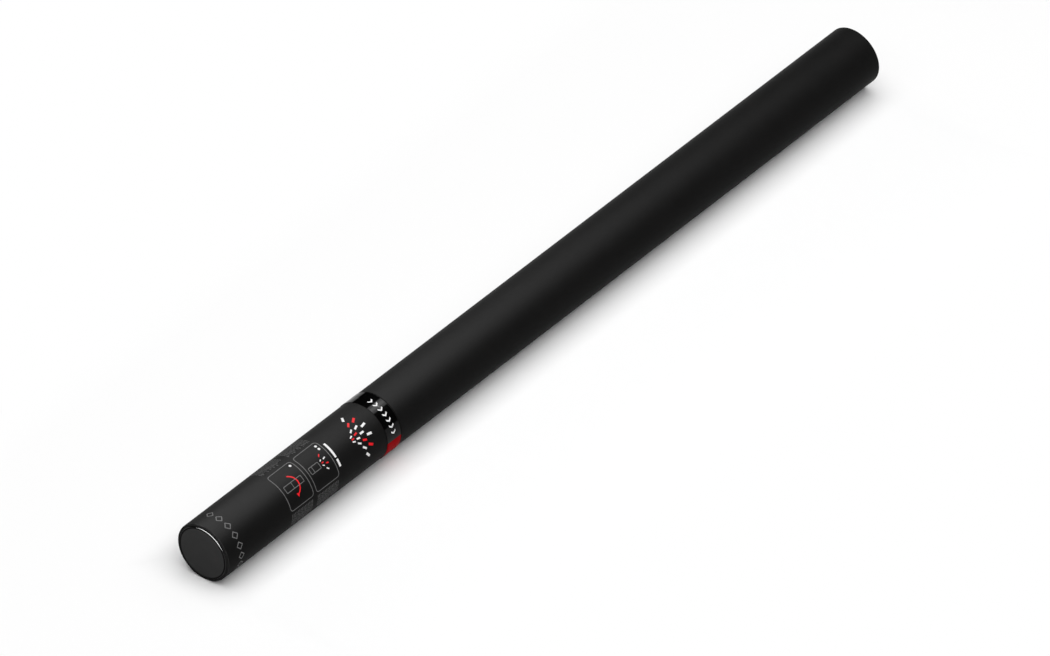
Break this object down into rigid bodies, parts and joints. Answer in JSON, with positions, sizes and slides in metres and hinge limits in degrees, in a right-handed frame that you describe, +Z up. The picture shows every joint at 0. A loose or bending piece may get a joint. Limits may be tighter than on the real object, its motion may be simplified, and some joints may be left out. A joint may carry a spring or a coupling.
{
  "type": "confetti popper",
  "caption": "Long black tube that twists at its handle to open a gas valve and throw paper slips out of the muzzle; a film strip with a red tab locks the twist.",
  "frame": {"origin": "on the floor under the middle of the lying tube", "axes": "+X along the tube from the base cap to the muzzle, +Z up, the pull tab on the -Y side"},
  "size_m": [0.8, 0.0512, 0.0506],
  "materials": {
    "black_paper": "matt black paper over wound board",
    "coupler_plastic": "moulded black plastic",
    "cap_plastic": "fine matt disc inside a glossy rounded rim",
    "pad_foam": "closed-cell foam",
    "cylinder_metal": "drawn aluminium",
    "valve_plastic": "turned off-white plastic",
    "seal_rubber": "black rubber",
    "pin_steel": "bright steel",
    "wad_felt": "pressed grey felt",
    "wad_board": "grey-brown card",
    "confetti_slips": "loose stacks of thin white paper slips",
    "strip_film": "glossy black film",
    "tab_film": "glossy red film"
  },
  "bodies": {
    "barrel": {"barrel_tube": "black_paper", "breech_coupler": "coupler_plastic"},
    "handle": {"grip_sleeve": "black_paper", "base_cap": "cap_plastic", "cylinder_pad": "pad_foam", "gas_cylinder": "cylinder_metal", "spacer_ring_lower": "coupler_plastic", "spacer_ring_upper": "coupler_plastic", "valve_body": "valve_plastic", "neck_gasket": "seal_rubber", "crimp_ferrule": "cylinder_metal", "collar_o_ring": "seal_rubber", "retaining_clip": "pin_steel"},
    "plug": {"valve_plug": "valve_plastic", "plug_o_ring": "seal_rubber", "cam_pin": "pin_steel"},
    "charge": {"pusher_wad": "wad_felt", "wad_card": "wad_board", "confetti_layer_1": "confetti_slips", "confetti_layer_2": "confetti_slips", "confetti_layer_3": "confetti_slips", "confetti_layer_4": "confetti_slips", "confetti_layer_5": "confetti_slips", "confetti_layer_6": "confetti_slips", "confetti_layer_7": "confetti_slips", "confetti_layer_8": "confetti_slips", "confetti_layer_9": "confetti_slips", "top_card": "wad_board"},
    "lid": {"muzzle_lid": "cap_plastic"},
    "strip": {"safety_strip": "strip_film"},
    "tab": {"pull_tab": "tab_film"}
  },
  "joints": [
    {"name": "handle_twist", "type": "hinge", "parent": "barrel", "child": "handle", "pos_m": [-0.201, 0, 0.025], "axis": [1, 0, 0], "range_deg": [0, 60]},
    {"name": "valve_lift", "type": "slide", "parent": "barrel", "child": "plug", "axis": [1, 0, 0], "range_m": [0, 0.009]},
    {"name": "charge_launch", "type": "slide", "parent": "barrel", "child": "charge", "axis": [1, 0, 0], "range_m": [0, 0.64]},
    {"name": "lid_pop", "type": "slide", "parent": "barrel", "child": "lid", "axis": [1, 0, 0], "range_m": [0, 0.64]},
    {"name": "strip_removal", "type": "slide", "parent": "barrel", "child": "strip", "axis": [-1, 0, 0], "range_m": [0, 0.235]},
    {"name": "tab_peel", "type": "hinge", "parent": "strip", "child": "tab", "pos_m": [-0.201, -0.02545, 0.025], "axis": [-1, 0, 0], "range_deg": [0, 100]}
  ],
  "couplings": [
    {"joint": "valve_lift", "follows": "handle_twist", "m_per_rad": 0.0085943},
    {"joint": "lid_pop", "follows": "charge_launch", "ratio": 1}
  ]
}
